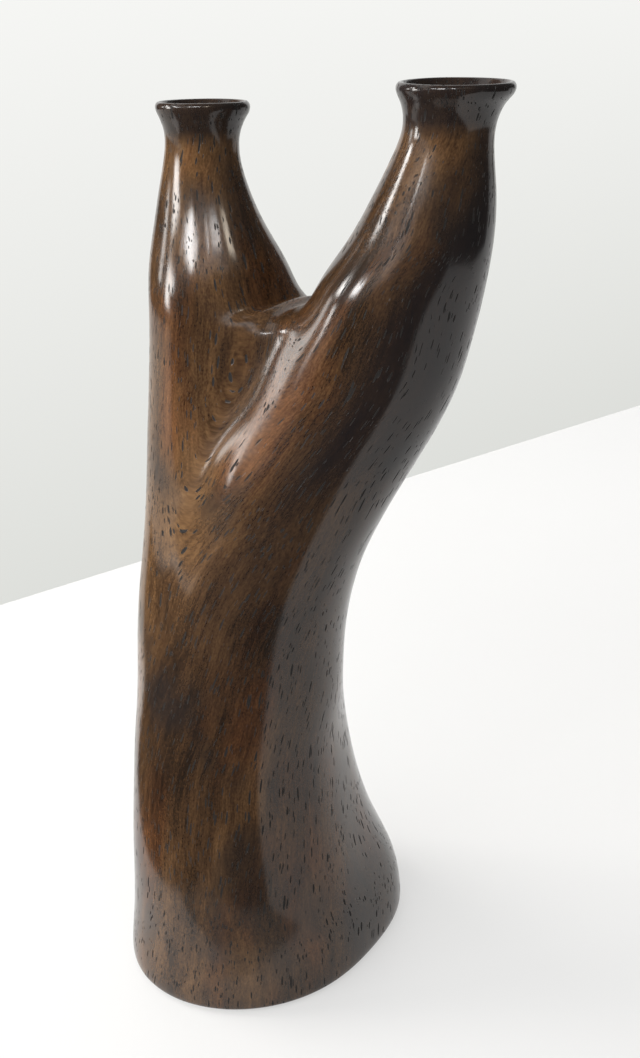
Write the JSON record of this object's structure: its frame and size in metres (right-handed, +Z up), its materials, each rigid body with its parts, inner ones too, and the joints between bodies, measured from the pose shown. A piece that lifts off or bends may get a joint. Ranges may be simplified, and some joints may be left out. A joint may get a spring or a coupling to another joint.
{
  "type": "dip pen holder",
  "caption": "Carved dark hardwood dip pen holder: a twisting forked trunk on an oval foot, with a flared pen mouth on each arm.",
  "frame": {"origin": "middle of the foot pad's underside, on the surface that the holder stands on", "axes": "+Z up, +X from the shorter arm towards the taller arm, +Y to the back"},
  "size_m": [0.0737, 0.0575, 0.1602],
  "materials": {
    "hardwood": "semi-gloss",
    "liner": "matte",
    "pad": "matte"
  },
  "bodies": {
    "root": {"carved_body": "hardwood", "left_pen_liner": "liner", "right_pen_liner": "liner", "base_pad": "pad"}
  },
  "joints": []
}
